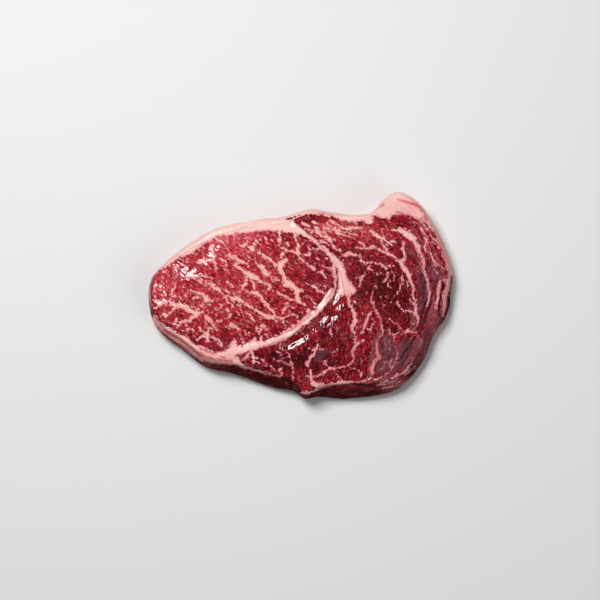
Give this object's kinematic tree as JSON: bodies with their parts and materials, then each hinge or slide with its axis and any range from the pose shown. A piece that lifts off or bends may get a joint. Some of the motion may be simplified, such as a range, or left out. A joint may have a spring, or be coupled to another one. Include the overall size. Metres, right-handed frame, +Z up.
{
  "type": "raw beef steak",
  "caption": "Raw boneless beef rib steak, a thick marbled slab with an oval eye, a curved cap, a fat rim and a slanting cut wall, lying flat.",
  "frame": {"origin": "on the surface that the steak lies on, under the middle of its bounding box", "axes": "+Z up out of the cut face, +X along the length towards the blunt end, +Y towards the fat cap"},
  "size_m": [0.1768, 0.1202, 0.0246],
  "materials": {
    "raw_beef": "moist raw muscle, crimson, marbled with pale pink fat"
  },
  "bodies": {
    "root": {"steak": "raw_beef"}
  },
  "joints": []
}
